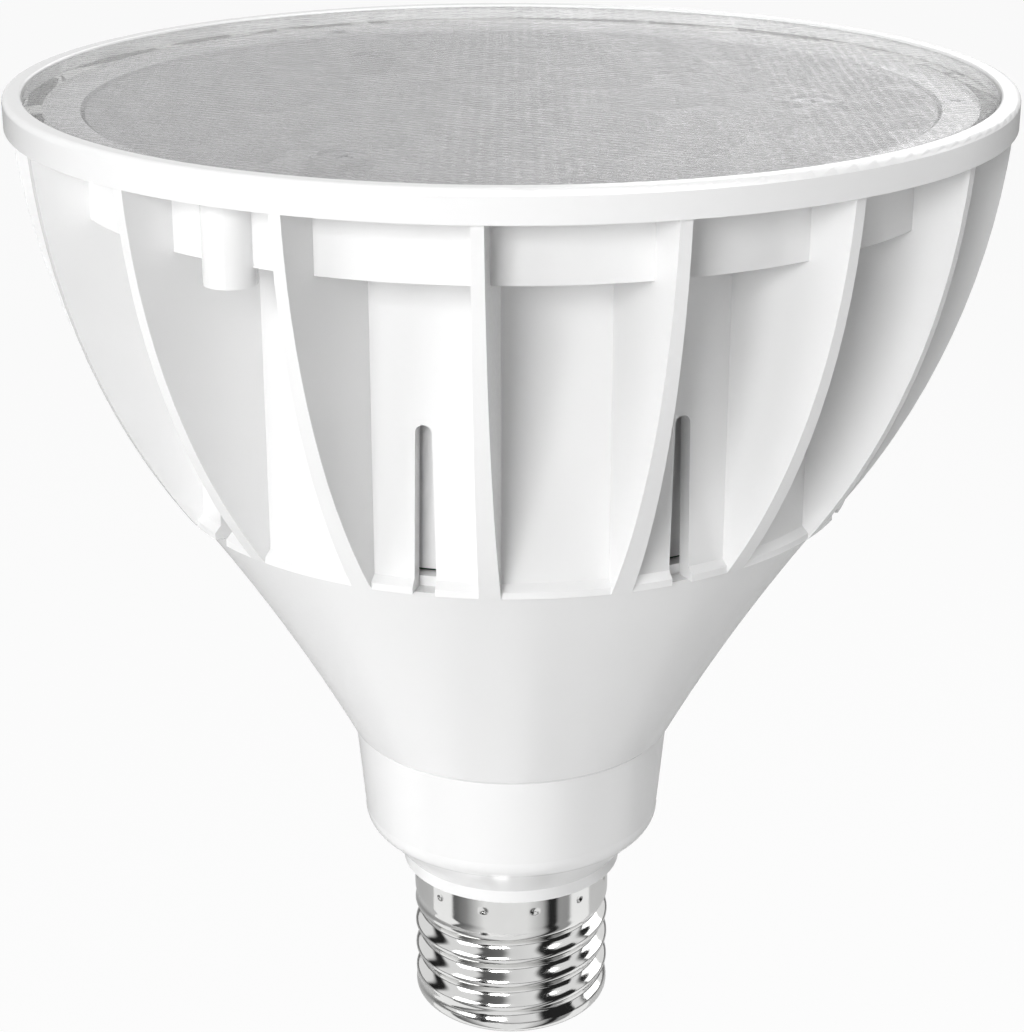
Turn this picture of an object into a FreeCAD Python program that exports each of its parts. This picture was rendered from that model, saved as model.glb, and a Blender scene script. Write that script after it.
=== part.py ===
import FreeCAD, Part
import Sketcher
import math
import os

# PAR38 spotlight bulb with a finned moulded housing and a screw base.
# The axis is Z, the base points down and the tip of the centre contact is at the origin.
# The front of the bulb faces -Y. Lengths are millimetres, angles are degrees.

SIZES = {
    # heights up the axis, stacked from the tip of the contact
    "contact_height": 1.5,
    "contact_to_shell": 2.1,
    "shell_foot_height": 2.6,
    "thread_length": 15.0,
    "land_length": 4.7,
    "collar_height": 21.0,
    "cone_height": 34.0,
    "fin_height": 46.7,
    "rim_height": 3.6,
    "band_height": 7.9,
    # front ring, lens and lens bead
    "rim_radius": 60.33,
    "rim_wall": 1.25,
    "rim_round": 0.7,
    "lens_inset": 2.33,
    "lens_thickness": 1.6,
    "lens_recess": 0.2,
    "bead_width": 2.2,
    "bead_thickness": 0.5,
    # finned housing
    "band_inset": 6.93,
    "drum_inset": 11.4,
    "drum_lip": 0.8,
    "drum_wall": 2.0,
    "ledge_fillet": 2.0,
    "fin_count": 18,
    "fin_azimuth": -3.2,
    "fin_edge_thickness": 1.3,
    "fin_root_thickness": 2.6,
    "fin_inset": 0.6,
    "fin_curve_radius": 90.3,
    "slot_height": 19.8,
    "slot_top_width": 1.9,
    "slot_foot_width": 2.6,
    "flange_boss_radius": 2.9,
    "flange_boss_drop": 2.0,
    "flange_screw_radius": 1.1,
    "flange_head_radius": 1.8,
    "flange_head_height": 0.8,
    "flange_screw_length": 8.0,
    # lower housing
    "cone_inset": 0.9,
    "cone_curve_radius": 280.0,
    "collar_radius": 21.2,
    "collar_step": 0.5,
    "collar_foot_radius": 19.6,
    "shoulder_height": 8.5,
    "shoulder_round": 2.6,
    "neck_radius": 14.6,
    "neck_height": 1.7,
    "moulded_wall": 1.8,
    "spigot_height": 1.2,
    "skirt_depth": 4.2,
    # screw base
    "shell_radius": 13.17,
    "shell_wall": 0.35,
    "shell_mouth_radius": 10.0,
    "shell_bend_height": 1.17,
    "shell_bend_inset": 0.3,
    "shell_lip": 0.14,
    "thread_pitch": 3.63,
    "thread_depth": 1.1,
    "thread_run_out": 2.9,
    "insulator_foot_radius": 6.0,
    "insulator_step": 0.7,
    "insulator_flange": 1.4,
    "contact_radius": 4.8,
    "contact_flat_radius": 2.64,
    "contact_dome_height": 1.05,
    "contact_stem_radius": 1.2,
    "contact_stem_rise": 2.8,
    # light engine
    "spreader_plate": 1.2,
    "spreader_wall": 1.5,
    "spreader_gap": 1.6,
    "board_inset": 3.4,
    "board_thickness": 1.2,
    "chip_width": 3.0,
    "chip_height": 0.6,
    "reflector_height": 4.5,
    "reflector_gap": 0.5,
    "cup_mouth_share": 0.14145,
    "cup_floor_radius": 2.6,
    "cup_ring_share": 0.2554,
    "first_ring_share": 0.334,
    "first_ring_count": 7,
    "board_screw_count": 3,
    "board_screw_radius": 1.5,
    "screw_head_radius": 2.7,
    "screw_head_height": 1.6,
    "screw_boss_wall": 0.9,
    "cross_width": 0.5,
    "cross_depth": 0.5,
    # driver
    "driver_thickness": 1.6,
    "driver_height": 62.0,
    "driver_side_gap": 9.0,
    "transformer_width": 22.0,
    "transformer_depth": 8.0,
    "transformer_height": 18.0,
    "transformer_leg": 4.0,
    "winding_depth": 14.0,
    "bulk_capacitor_radius": 5.0,
    "bulk_capacitor_length": 18.0,
    "bulk_capacitor_side": 9.0,
    "output_capacitor_radius": 4.0,
    "output_capacitor_length": 12.0,
    "output_capacitor_side": 14.0,
    "choke_radius": 4.5,
    "choke_length": 8.0,
    "resistor_radius": 1.9,
    "resistor_length": 9.0,
    "varistor_radius": 4.5,
    "varistor_thickness": 3.6,
    "varistor_side": 7.2,
    "varistor_rise": 6.3,
    "rectifier_width": 8.0,
    "rectifier_depth": 3.6,
    "film_capacitor_width": 11.0,
    "film_capacitor_depth": 6.0,
    "film_capacitor_height": 10.0,
    "transistor_width": 10.0,
    "transistor_depth": 4.6,
    "transistor_height": 15.0,
    "transistor_side": 20.0,
    "lead_radius": 0.7,
    "output_lead_offset": 5.0,
    "lead_sweep": 2.8,
    "shell_lead_foot": 5.0,
    "shell_lead_top": 10.5,
    # running and assembly clearances
    "fit_gap": 0.1,
    "seat_gap": 0.3,
}

# How far the edges of the rolled thread may lie from the plain bands that they join
ROLL_TOLERANCE = 0.002
# Points on the rolled thread's surface, round the axis and up one turn
THREAD_POINT_COUNT = 36
THREAD_ROW_COUNT = 10
# A coordinate smaller than this lies on the sketch's axis
ON_AXIS = 1e-9
# A half round is opened by this factor, so that its centre stays off its chord
HALF_ROUND = 1.0001
# How far a cut runs past the faces that it opens
OVERRUN = 1.0
# The share of a wire's shorter run that each bend takes up
BEND_SHARE = 0.45

doc = FreeCAD.newDocument("par_spotlight_bulb")
sheet = doc.addObject("Spreadsheet::Sheet", "sizes")
for row, (alias, number) in enumerate(SIZES.items(), start=1):
    sheet.set(f"A{row}", alias)
    sheet.set(f"B{row}", str(number))
    sheet.setAlias(f"B{row}", alias)
doc.recompute()


class Size:
    """A length or a count: its present value and its formula in the sheet's names."""

    def __init__(self, value, formula):
        self.value = value
        self.formula = formula

    def __add__(self, other):
        other = as_size(other)
        return Size(self.value + other.value, f"({self.formula} + {other.formula})")

    def __sub__(self, other):
        other = as_size(other)
        return Size(self.value - other.value, f"({self.formula} - {other.formula})")

    def __mul__(self, other):
        other = as_size(other)
        return Size(self.value * other.value, f"({self.formula} * {other.formula})")

    def __truediv__(self, other):
        other = as_size(other)
        return Size(self.value / other.value, f"({self.formula} / {other.formula})")

    def __radd__(self, other):
        return as_size(other) + self

    def __rsub__(self, other):
        return as_size(other) - self

    def __rmul__(self, other):
        return as_size(other) * self

    def __rtruediv__(self, other):
        return as_size(other) / self

    def __neg__(self):
        return Size(-self.value, f"(0 - {self.formula})")


def as_size(number):
    """A bare number as a Size."""
    if isinstance(number, Size):
        return number
    return Size(float(number), f"{float(number):.6f}")


def size(alias):
    """The named cell of the sheet."""
    return Size(float(sheet.get(alias)), f"sizes.{alias}")


def bind(item, path, value):
    """Tie one property of an object to the sheet."""
    item.setExpression(path, as_size(value).formula)


# Levels up the axis
contact_top = size("contact_height")
shell_foot = contact_top + size("contact_to_shell")
thread_foot = shell_foot + size("shell_foot_height")
stem_top = thread_foot + size("contact_stem_rise")
thread_top = thread_foot + size("thread_length")
neck_foot = thread_top + size("land_length")
collar_top = neck_foot + size("collar_height")
cone_top = collar_top + size("cone_height")
rim_foot = cone_top + size("fin_height")
rim_top = rim_foot + size("rim_height")
band_foot = rim_foot - size("band_height")
lens_top = rim_top - size("lens_recess")
lens_foot = lens_top - size("lens_thickness")
flange_top = lens_foot - size("bead_thickness")
ledge_top = band_foot + size("drum_wall")
spreader_top = ledge_top + size("spreader_plate")
board_top = spreader_top + size("board_thickness")
reflector_top = board_top + size("reflector_height")
flange_seat = flange_top - size("flange_head_height")
board_seat = reflector_top - size("screw_head_height") - size("seat_gap")
shoulder_top = neck_foot + size("shoulder_height")
driver_foot = shoulder_top
driver_top = driver_foot + size("driver_height")
board_face = size("driver_thickness") / 2

# Radii that follow from others
lens_radius = size("rim_radius") - size("lens_inset")
band_radius = size("rim_radius") - size("band_inset")
drum_radius = band_radius - size("drum_inset")
drum_inner = drum_radius - size("drum_wall")
band_inner = band_radius - size("drum_wall")
cone_top_radius = drum_radius + size("drum_lip") - size("cone_inset")
rim_inner = lens_radius + size("fit_gap")
bead_inner = lens_radius - size("bead_width")
flange_screw_circle = (band_inner + bead_inner) / 2
board_radius = band_inner - size("board_inset")
reflector_radius = band_inner - size("reflector_gap")
cup_mouth_radius = reflector_radius * size("cup_mouth_share")
cup_ring_spacing = reflector_radius * size("cup_ring_share")
first_ring_radius = reflector_radius * size("first_ring_share")
board_screw_circle = first_ring_radius + cup_ring_spacing * 1.5
flange_radius = size("rim_radius") - size("rim_wall") - size("fit_gap")
shell_inner = size("shell_radius") - size("shell_wall")
skirt_radius = shell_inner - size("fit_gap") / 2

pieces = []


def keep(item, label):
    """List an object as one piece of the bulb under its own name."""
    item.Label = label
    pieces.append(item)
    return item


def origin_plane(body, role):
    """One of a body's own origin planes."""
    for feature in body.Origin.OriginFeatures:
        if feature.Role == role:
            return feature


def pin(sketch, index, end, value, kind):
    """Hold one coordinate of a point at a value, measured from the sketch's origin."""
    value = as_size(value)
    if abs(value.value) < ON_AXIS:
        axis = -2 if kind == "DistanceX" else -1
        return sketch.addConstraint(Sketcher.Constraint("PointOnObject", index, end, axis))
    if value.value > 0:
        constraint = Sketcher.Constraint(kind, -1, 1, index, end, value.value)
        formula = value
    else:
        constraint = Sketcher.Constraint(kind, index, end, -1, 1, -value.value)
        formula = -value
    place = sketch.addConstraint(constraint)
    bind(sketch, f"Constraints[{place}]", formula)
    return place


def outline(body, name, role, corners, arcs=None):
    """A closed sketch through corners; arcs maps a corner's number to (radius, bulge).

    The edge that starts at that corner is an arc. A positive bulge puts the arc to the
    left of the way from its corner to the next.
    """
    arcs = arcs or {}
    sketch = body.newObject("Sketcher::SketchObject", name)
    sketch.AttachmentSupport = [(origin_plane(body, role), "")]
    sketch.MapMode = "FlatFace"
    points = [FreeCAD.Vector(as_size(a).value, as_size(b).value, 0) for a, b in corners]
    ends = []
    for number, start in enumerate(points):
        finish = points[(number + 1) % len(points)]
        if number in arcs:
            radius, bulge = arcs[number]
            middle = arc_middle(start, finish, as_size(radius).value, bulge)
            clockwise = bulge > 0
            run = (finish, middle, start) if clockwise else (start, middle, finish)
            index = sketch.addGeometry(Part.Arc(*run), False)
            ends.append((index, 2, 1) if clockwise else (index, 1, 2))
        else:
            index = sketch.addGeometry(Part.LineSegment(start, finish), False)
            ends.append((index, 1, 2))
    for number, (index, first, last) in enumerate(ends):
        follower, follower_first, _ = ends[(number + 1) % len(ends)]
        sketch.addConstraint(
            Sketcher.Constraint("Coincident", index, last, follower, follower_first)
        )
        pin(sketch, index, first, corners[number][0], "DistanceX")
        pin(sketch, index, first, corners[number][1], "DistanceY")
        if number in arcs:
            radius = as_size(arcs[number][0])
            place = sketch.addConstraint(Sketcher.Constraint("Radius", index, radius.value))
            bind(sketch, f"Constraints[{place}]", radius)
    return sketch


def arc_middle(start, finish, radius, bulge):
    """The middle point of the arc of this radius between two points."""
    chord = finish - start
    half = chord.Length / 2
    rise = radius - math.sqrt(radius * radius - half * half)
    left = FreeCAD.Vector(-chord.y, chord.x, 0).normalize()
    return (start + finish) * 0.5 + left * (rise * bulge)


def new_body(name):
    """An empty body."""
    return doc.addObject("PartDesign::Body", name)


def revolve(body, sketch, name, groove=False):
    """Turn a sketch once round the vertical axis, as material or as a cut."""
    kind = "PartDesign::Groove" if groove else "PartDesign::Revolution"
    turn = body.newObject(kind, name)
    turn.Profile = sketch
    turn.ReferenceAxis = (sketch, ["V_Axis"])
    turn.Angle = 360
    sketch.Visibility = False
    return turn


def turned(label, corners, arcs=None):
    """A piece with one turned section."""
    body = new_body(label)
    sketch = outline(body, f"{label}_section", "XZ_Plane", corners, arcs)
    revolve(body, sketch, f"{label}_turn")
    return keep(body, label)


def at_angle(radius, angle):
    """X and Y of a point at a radius and an angle in degrees."""
    turn = math.radians(angle.value)
    across = Size(math.cos(turn), f"cos({angle.formula})")
    along = Size(math.sin(turn), f"sin({angle.formula})")
    return radius * across, radius * along


def upright(body, name, radius, foot, height, place, cut=True):
    """A round hole, or a round post, that stands at a place in the plan."""
    kind = "PartDesign::SubtractiveCylinder" if cut else "PartDesign::AdditiveCylinder"
    item = body.newObject(kind, name)
    bind(item, "Radius", radius)
    bind(item, "Height", height)
    bind(item, "Placement.Base.x", place[0])
    bind(item, "Placement.Base.y", place[1])
    bind(item, "Placement.Base.z", foot)
    return item


def repeat(body, feature, axis, count, name):
    """Repeat a feature round a sketch's axis, given as (sketch, axis name)."""
    pattern = body.newObject("PartDesign::PolarPattern", name)
    pattern.Originals = [feature]
    pattern.Axis = (axis[0], [axis[1]])
    pattern.Angle = 360
    bind(pattern, "Occurrences", count)
    body.Tip = pattern
    return pattern


# Front ring: covers the housing's flange and frames the lens
def make_front_bezel():
    wall_inner = size("rim_radius") - size("rim_wall")
    rounding = size("rim_round")
    turned(
        "front_bezel",
        [
            (wall_inner, rim_foot),
            (size("rim_radius"), rim_foot),
            (size("rim_radius"), rim_top - rounding),
            (size("rim_radius") - rounding, rim_top),
            (rim_inner + rounding / 2, rim_top),
            (rim_inner, rim_top - rounding / 2),
            (rim_inner, flange_top),
            (wall_inner, flange_top),
        ],
        {2: (rounding, -1), 4: (rounding / 2, -1)},
    )


def make_lens():
    turned(
        "lens_cover",
        [
            (0, lens_foot),
            (lens_radius, lens_foot),
            (lens_radius, lens_top - size("rim_round") / 2),
            (lens_radius - size("rim_round") / 2, lens_top),
            (0, lens_top),
        ],
    )
    turned(
        "lens_gasket",
        [
            (bead_inner, flange_top),
            (lens_radius, flange_top),
            (lens_radius, lens_foot),
            (bead_inner, lens_foot),
        ],
    )


# Finned housing: drum, ledge, band and flange in one turned wall, with 18 fins and 9 slots
def make_fin_housing():
    body = new_body("fin_housing")
    lip_radius = drum_radius + size("drum_lip")
    fillet = size("ledge_fillet")
    wall = outline(
        body,
        "housing_section",
        "XZ_Plane",
        [
            (drum_inner, cone_top),
            (lip_radius, cone_top),
            (lip_radius, cone_top + size("drum_lip")),
            (drum_radius, cone_top + size("drum_lip") * 2),
            (drum_radius, band_foot - fillet),
            (drum_radius + fillet, band_foot),
            (band_radius, band_foot),
            (band_radius, rim_foot),
            (flange_radius, rim_foot),
            (flange_radius, flange_top),
            (band_inner, flange_top),
            (band_inner, ledge_top),
            (drum_inner, ledge_top),
        ],
        {4: (fillet, 1)},
    )
    revolve(body, wall, "housing_wall")
    plan = outline(
        body,
        "fin_plan",
        "XY_Plane",
        [
            (drum_radius - size("drum_wall") / 2, -size("fin_root_thickness") / 2),
            (size("rim_radius"), -size("fin_edge_thickness") / 2),
            (size("rim_radius"), size("fin_edge_thickness") / 2),
            (drum_radius - size("drum_wall") / 2, size("fin_root_thickness") / 2),
        ],
    )
    bind(plan, "AttachmentOffset.Base.z", cone_top)
    fin = body.newObject("PartDesign::Pad", "fin")
    fin.Profile = plan
    bind(fin, "Length", size("fin_height"))
    repeat(body, fin, (plan, "N_Axis"), size("fin_count"), "fins")
    boss_place = at_angle(flange_screw_circle, -540 / size("fin_count"))
    boss_foot = band_foot - size("flange_boss_drop")
    boss_height = rim_foot - boss_foot
    boss_radius = size("flange_boss_radius")
    boss = upright(body, "flange_boss", boss_radius, boss_foot, boss_height, boss_place, cut=False)
    repeat(body, boss, (wall, "V_Axis"), size("board_screw_count"), "flange_bosses")
    trim_radius = size("rim_radius") - size("fin_inset")
    envelope = outline(
        body,
        "fin_envelope",
        "XZ_Plane",
        [
            (lip_radius, cone_top),
            (size("rim_radius") + size("rim_wall"), cone_top),
            (size("rim_radius") + size("rim_wall"), rim_foot),
            (trim_radius, rim_foot),
        ],
        {3: (size("fin_curve_radius"), 1)},
    )
    revolve(body, envelope, "fin_trim", groove=True)
    well = outline(
        body,
        "light_well",
        "XZ_Plane",
        [(0, ledge_top), (band_inner, ledge_top), (band_inner, rim_top), (0, rim_top)],
    )
    revolve(body, well, "light_well_cut", groove=True)
    bore = outline(
        body,
        "drum_bore",
        "XZ_Plane",
        [(0, 0), (drum_inner, 0), (drum_inner, rim_top), (0, rim_top)],
    )
    revolve(body, bore, "drum_bore_cut", groove=True)
    length = size("flange_screw_length")
    shank = size("flange_screw_radius") + size("fit_gap")
    head = size("flange_head_radius") + size("fit_gap")
    holes = {
        "flange_hole": (shank, flange_seat - length, length + OVERRUN),
        "flange_recess": (head, flange_seat, OVERRUN * 2),
    }
    for name, (radius, foot, depth) in holes.items():
        hole = upright(body, name, radius, foot, depth, boss_place)
        repeat(body, hole, (wall, "V_Axis"), size("board_screw_count"), f"{name}s")
    top_half = size("slot_top_width") / 2
    foot_half = size("slot_foot_width") / 2
    slot_top = cone_top + size("slot_height")
    slot_outline = outline(
        body,
        "slot_outline",
        "YZ_Plane",
        [
            (-foot_half, cone_top - size("fit_gap")),
            (foot_half, cone_top - size("fit_gap")),
            (top_half, slot_top - top_half),
            (-top_half, slot_top - top_half),
        ],
        {2: (top_half * HALF_ROUND, -1)},
    )
    half_bay = -180 / size("fin_count")
    slot_outline.AttachmentOffset = FreeCAD.Placement(
        FreeCAD.Vector(0, 0, 0), FreeCAD.Rotation(FreeCAD.Vector(0, 1, 0), half_bay.value)
    )
    bind(slot_outline, "AttachmentOffset.Rotation.Angle", half_bay)
    slot = body.newObject("PartDesign::Pocket", "slot")
    slot.Profile = slot_outline
    slot.Type = "ThroughAll"
    slot.Reversed = True
    repeat(body, slot, (wall, "V_Axis"), size("fin_count") / 2, "slots")
    bind(body, "Placement.Rotation.Angle", size("fin_azimuth") - 90)
    keep(body, "fin_housing")


# Lower housing: cone, collar, neck and the skirt that the screw shell is staked on
def make_lower_housing():
    wall = size("moulded_wall")
    collar = size("collar_radius")
    step = size("collar_step")
    foot = size("collar_foot_radius")
    rounding = size("shoulder_round")
    neck_top = neck_foot + size("neck_height")
    skirt_inner = skirt_radius - wall
    spigot_radius = drum_inner - size("fit_gap")
    turned(
        "lower_housing",
        [
            (skirt_inner, neck_foot - size("skirt_depth")),
            (skirt_radius, neck_foot - size("skirt_depth")),
            (skirt_radius, neck_foot),
            (size("neck_radius"), neck_foot),
            (size("neck_radius"), neck_top),
            (foot - rounding / 2, shoulder_top - rounding),
            (foot, shoulder_top),
            (collar - step, collar_top - step),
            (collar, collar_top),
            (cone_top_radius, cone_top),
            (spigot_radius, cone_top),
            (spigot_radius, cone_top + size("spigot_height")),
            (spigot_radius - wall, cone_top + size("spigot_height")),
            (spigot_radius - wall, cone_top - wall),
            (collar - wall, collar_top),
            (foot - wall, shoulder_top),
            (skirt_inner, neck_top + wall),
        ],
        {5: (rounding, -1), 8: (size("cone_curve_radius"), 1)},
    )


# Screw base: a thin drawn shell with a rolled right-hand knuckle thread under a plain land
def thread_radius(angle, height):
    """Outer radius of the shell at an angle in degrees and a height in the thread."""
    pitch = size("thread_pitch").value
    foot = thread_foot.value
    top = thread_top.value
    run_out = size("thread_run_out").value
    rise = min(1.0, (height - foot) / run_out, (top - height) / run_out)
    fade = rise * rise * (3 - 2 * rise)
    wave = 0.5 - 0.5 * math.cos(2 * math.pi * ((height - foot) / pitch - angle / 360))
    return size("shell_radius").value - size("thread_depth").value * fade * wave


def thread_face(inset):
    """The rolled surface, a given distance inside the outer one."""
    turns = THREAD_POINT_COUNT
    steps = int(round(size("thread_length").value / size("thread_pitch").value * THREAD_ROW_COUNT))
    foot = thread_foot.value
    span = thread_top.value - foot
    grid = []
    for row in range(steps + 1):
        height = foot + span * row / steps
        ring = []
        for place in range(turns + 1):
            angle = 360.0 * (place % turns) / turns
            radius = thread_radius(angle, height) - inset
            ring.append(
                FreeCAD.Vector(
                    radius * math.cos(math.radians(angle)),
                    radius * math.sin(math.radians(angle)),
                    height,
                )
            )
        grid.append(ring)
    surface = Part.BSplineSurface()
    surface.interpolate(grid)
    return surface.toShape()


def closed_ends(face):
    """The two round edges of a rolled face, lower one first."""
    loops = [edge for edge in face.Edges if edge.isClosed()]
    return sorted(loops, key=lambda edge: edge.BoundBox.ZMin)


def spun(points):
    """The solid that a closed run of points in the XZ plane sweeps round the axis."""
    corners = [FreeCAD.Vector(x.value, 0, z.value) for x, z in points]
    face = Part.Face(Part.makePolygon(corners + corners[:1]))
    return face.revolve(FreeCAD.Vector(0, 0, 0), FreeCAD.Vector(0, 0, 1), 360)


def make_screw_shell():
    outer = size("shell_radius")
    wall = size("shell_wall")
    inner = outer - wall
    outside = thread_face(0)
    inside = thread_face(wall.value)
    faces = [outside, inside]
    for outer_edge, inner_edge in zip(closed_ends(outside), closed_ends(inside)):
        faces += Part.makeRuledSurface(outer_edge, inner_edge).Faces
    skin = Part.makeShell(faces)
    skin.sewShape(ROLL_TOLERANCE)
    thread = Part.Solid(skin.Shells[0])
    if thread.Volume < 0:
        thread.reverse()
    land = spun(
        [(inner, thread_top), (outer, thread_top), (outer, neck_foot), (inner, neck_foot)]
    )
    bend = size("shell_bend_height")
    inset = size("shell_bend_inset")
    lip = size("shell_lip")
    mouth = size("shell_mouth_radius")
    foot = spun(
        [
            (inner, thread_foot),
            (outer, thread_foot),
            (outer - inset, thread_foot - bend),
            (mouth, shell_foot),
            (mouth - lip, shell_foot + wall),
            (inner - inset, thread_foot - bend + lip),
        ]
    )
    item = doc.addObject("Part::Feature", "screw_shell")
    item.Shape = thread.fuse([land, foot], ROLL_TOLERANCE).Solids[0]
    keep(item, "screw_shell")


def make_base_parts():
    stem = size("contact_stem_radius")
    wall = size("shell_wall")
    plug = size("shell_mouth_radius") - size("shell_lip") - size("fit_gap")
    root_inner = size("shell_radius") - size("thread_depth") - wall
    flange = root_inner - size("fit_gap")
    step = size("insulator_step")
    turned(
        "base_insulator",
        [
            (stem, contact_top),
            (size("insulator_foot_radius"), contact_top),
            (plug, shell_foot - size("fit_gap")),
            (plug, shell_foot + step),
            (flange, thread_foot + step),
            (flange, thread_foot + step + size("insulator_flange")),
            (stem, thread_foot + step + size("insulator_flange")),
        ],
    )
    contact = size("contact_radius")
    flat = size("contact_flat_radius")
    turned(
        "centre_contact",
        [
            (0, 0),
            (flat, 0),
            (contact, size("contact_dome_height")),
            (contact, contact_top),
            (stem, contact_top),
            (stem, stem_top),
            (0, stem_top),
        ],
        {1: (flat, -1)},
    )


# Light engine: aluminium spreader, board with chips, and the moulded array of cups
def drill_for_screws(body, axis, name, radius, foot, depth, cut=True):
    """Round holes, or posts, on the circle of the board's screws."""
    hole = upright(body, name, radius, foot, depth, (board_screw_circle, 0), cut)
    repeat(body, hole, axis, size("board_screw_count"), f"{name}s")


def make_spreader():
    outer = drum_inner - size("spreader_gap")
    wall = size("spreader_wall")
    skirt_foot = cone_top + size("spigot_height") + size("seat_gap")
    body = turned(
        "heat_spreader",
        [
            (outer - wall, skirt_foot),
            (outer, skirt_foot),
            (outer, ledge_top),
            (reflector_radius, ledge_top),
            (reflector_radius, spreader_top),
            (0, spreader_top),
            (0, spreader_top - wall),
            (outer - wall, spreader_top - wall),
        ],
    )
    axis = (body.Group[0], "V_Axis")
    screw_hole = size("board_screw_radius") + size("fit_gap")
    foot = spreader_top - wall * 2
    drill_for_screws(body, axis, "spreader_screw_hole", screw_hole, foot, wall * 3)
    for side, name in ((1, "positive"), (-1, "negative")):
        place = (size("output_lead_offset") * side, size("lead_sweep"))
        hole_radius = size("lead_radius") + size("seat_gap")
        body.Tip = upright(body, f"{name}_lead_hole", hole_radius, foot, wall * 3, place)


def round_plate(label, radius, foot, thickness):
    """A body that starts as a flat disc, and the sketch of its edge."""
    body = new_body(label)
    edge = body.newObject("Sketcher::SketchObject", f"{label}_edge")
    edge.AttachmentSupport = [(origin_plane(body, "XY_Plane"), "")]
    edge.MapMode = "FlatFace"
    bind(edge, "AttachmentOffset.Base.z", foot)
    circle = Part.Circle(FreeCAD.Vector(0, 0, 0), FreeCAD.Vector(0, 0, 1), radius.value)
    edge.addGeometry(circle, False)
    edge.addConstraint(Sketcher.Constraint("Coincident", 0, 3, -1, 1))
    place = edge.addConstraint(Sketcher.Constraint("Radius", 0, radius.value))
    bind(edge, f"Constraints[{place}]", radius)
    plate = body.newObject("PartDesign::Pad", f"{label}_plate")
    plate.Profile = edge
    bind(plate, "Length", thickness)
    return body, edge


def rings():
    """Each ring of cups: its radius and how many cups it has."""
    count = size("first_ring_count")
    for number in range(3):
        radius = first_ring_radius + cup_ring_spacing * number
        yield radius, count * (number + 1)


def add_cup(body, name, radius):
    """One conical cup at a distance from the axis."""
    cup = body.newObject("PartDesign::SubtractiveCone", name)
    bind(cup, "Radius1", size("cup_floor_radius"))
    bind(cup, "Radius2", cup_mouth_radius)
    bind(cup, "Height", size("reflector_height"))
    bind(cup, "Placement.Base.x", radius)
    bind(cup, "Placement.Base.z", board_top)
    return cup


def make_reflector():
    height = size("reflector_height")
    body, edge = round_plate("reflector_array", reflector_radius, board_top, height)
    add_cup(body, "centre_cup", 0)
    axis = (edge, "N_Axis")
    for number, (ring_radius, count) in enumerate(rings(), start=1):
        cup = add_cup(body, f"cup_{number}", ring_radius)
        repeat(body, cup, axis, count, f"cups_{number}")
    head_radius = size("screw_head_radius") + size("fit_gap")
    boss_radius = head_radius + size("screw_boss_wall")
    screw_hole = size("board_screw_radius") + size("fit_gap")
    drill_for_screws(body, axis, "screw_boss", boss_radius, board_top, height, cut=False)
    drill_for_screws(body, axis, "screw_hole", screw_hole, board_top - OVERRUN, height + OVERRUN * 2)
    drill_for_screws(body, axis, "head_recess", head_radius, board_seat, height)
    keep(body, "reflector_array")


def round_group(shape, circle_radius, count, first=0.0):
    """Copies of a shape on a circle round the axis, from a first angle in degrees."""
    copies = []
    for number in range(count):
        copy = shape.copy()
        copy.translate(FreeCAD.Vector(circle_radius, 0, 0))
        copy.rotate(FreeCAD.Vector(0, 0, 0), FreeCAD.Vector(0, 0, 1), first + 360.0 * number / count)
        copies.append(copy)
    return copies


def make_board_and_chips():
    body, edge = round_plate(
        "led_board", board_radius, spreader_top, size("board_thickness")
    )
    screw_hole = size("board_screw_radius") + size("fit_gap")
    depth = size("board_thickness") + OVERRUN * 2
    drill_for_screws(body, (edge, "N_Axis"), "board_hole", screw_hole, spreader_top - OVERRUN, depth)
    keep(body, "led_board")
    width = size("chip_width").value
    corner = FreeCAD.Vector(-width / 2, -width / 2, board_top.value)
    chip = Part.makeBox(width, width, size("chip_height").value, corner)
    chips = [chip]
    for ring_radius, count in rings():
        chips += round_group(chip, ring_radius.value, int(round(count.value)))
    keep_group("led_chips", chips)


def cross_screw(radius, length, head_radius, head_height, seat):
    """A screw whose head has a cross recess and rests on a seat at this height."""
    foot = FreeCAD.Vector(0, 0, (seat - length).value)
    shank = Part.makeCylinder(radius.value, length.value, foot)
    head = Part.makeCylinder(head_radius.value, head_height.value, FreeCAD.Vector(0, 0, seat.value))
    screw = shank.fuse(head)
    width = size("cross_width").value
    reach = head_radius.value
    depth = size("cross_depth").value
    level = (seat + head_height).value - depth
    for across, along in ((width, reach), (reach, width)):
        corner = FreeCAD.Vector(-across / 2, -along / 2, level)
        screw = screw.cut(Part.makeBox(across, along, depth, corner))
    return screw.removeSplitter()


def keep_group(label, shapes):
    """Keep loose solids as one piece."""
    group = doc.addObject("Part::Feature", label)
    group.Shape = Part.makeCompound(shapes)
    keep(group, label)


def make_screws():
    count = int(SIZES["board_screw_count"])
    board_screw = cross_screw(
        size("board_screw_radius"),
        board_seat - ledge_top,
        size("screw_head_radius"),
        size("screw_head_height"),
        board_seat,
    )
    keep_group("board_screws", round_group(board_screw, board_screw_circle.value, count))
    flange_screw = cross_screw(
        size("flange_screw_radius"),
        size("flange_screw_length"),
        size("flange_head_radius"),
        size("flange_head_height"),
        flange_seat,
    )
    first = (size("fin_azimuth") - 90 - 540 / size("fin_count")).value
    keep_group("flange_screws", round_group(flange_screw, flange_screw_circle.value, count, first))


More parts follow.
